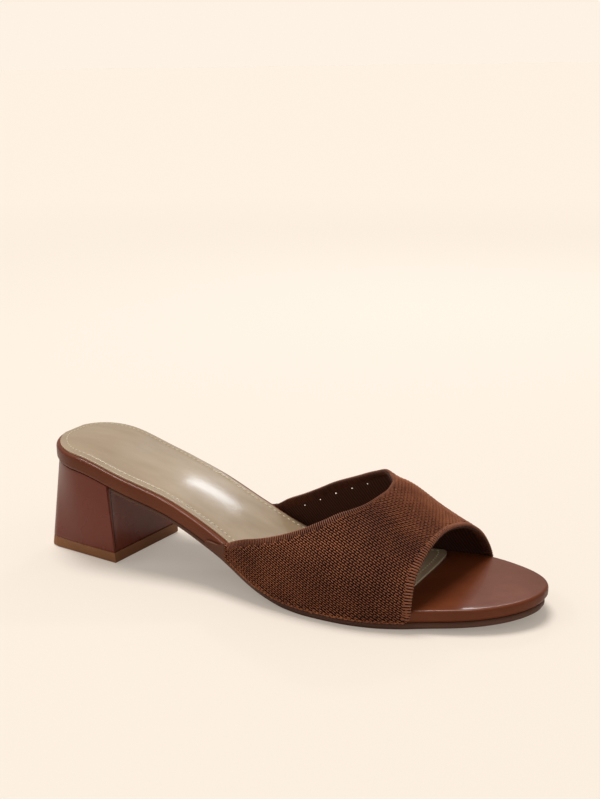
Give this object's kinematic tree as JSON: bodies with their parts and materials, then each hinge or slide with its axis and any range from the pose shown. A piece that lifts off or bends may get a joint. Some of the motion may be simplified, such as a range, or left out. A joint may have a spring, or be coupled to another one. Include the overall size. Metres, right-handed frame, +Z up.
{
  "type": "block-heel mule",
  "caption": "Open-toe slip-on mule for the right foot: a knitted vamp over a wrapped footbed with a padded sock, a thin outsole and a low block heel.",
  "frame": {"origin": "middle of the heel's top lift, on the floor", "axes": "+X forward to the toe, +Y to the inner side of this right shoe, +Z up"},
  "size_m": [0.2388, 0.0812, 0.0527],
  "materials": {
    "lift_rubber": "matt",
    "heel_cover": "smooth, satin gloss",
    "outsole_sheet": "matt",
    "footbed_cover": "smooth, glossy",
    "sock_lining": "smooth, satin",
    "knit": "knitted, matt"
  },
  "bodies": {
    "root": {"heel_top_lift": "lift_rubber", "heel": "heel_cover", "outsole": "outsole_sheet", "footbed": "footbed_cover", "insole_sock": "sock_lining", "upper": "knit"}
  },
  "joints": []
}
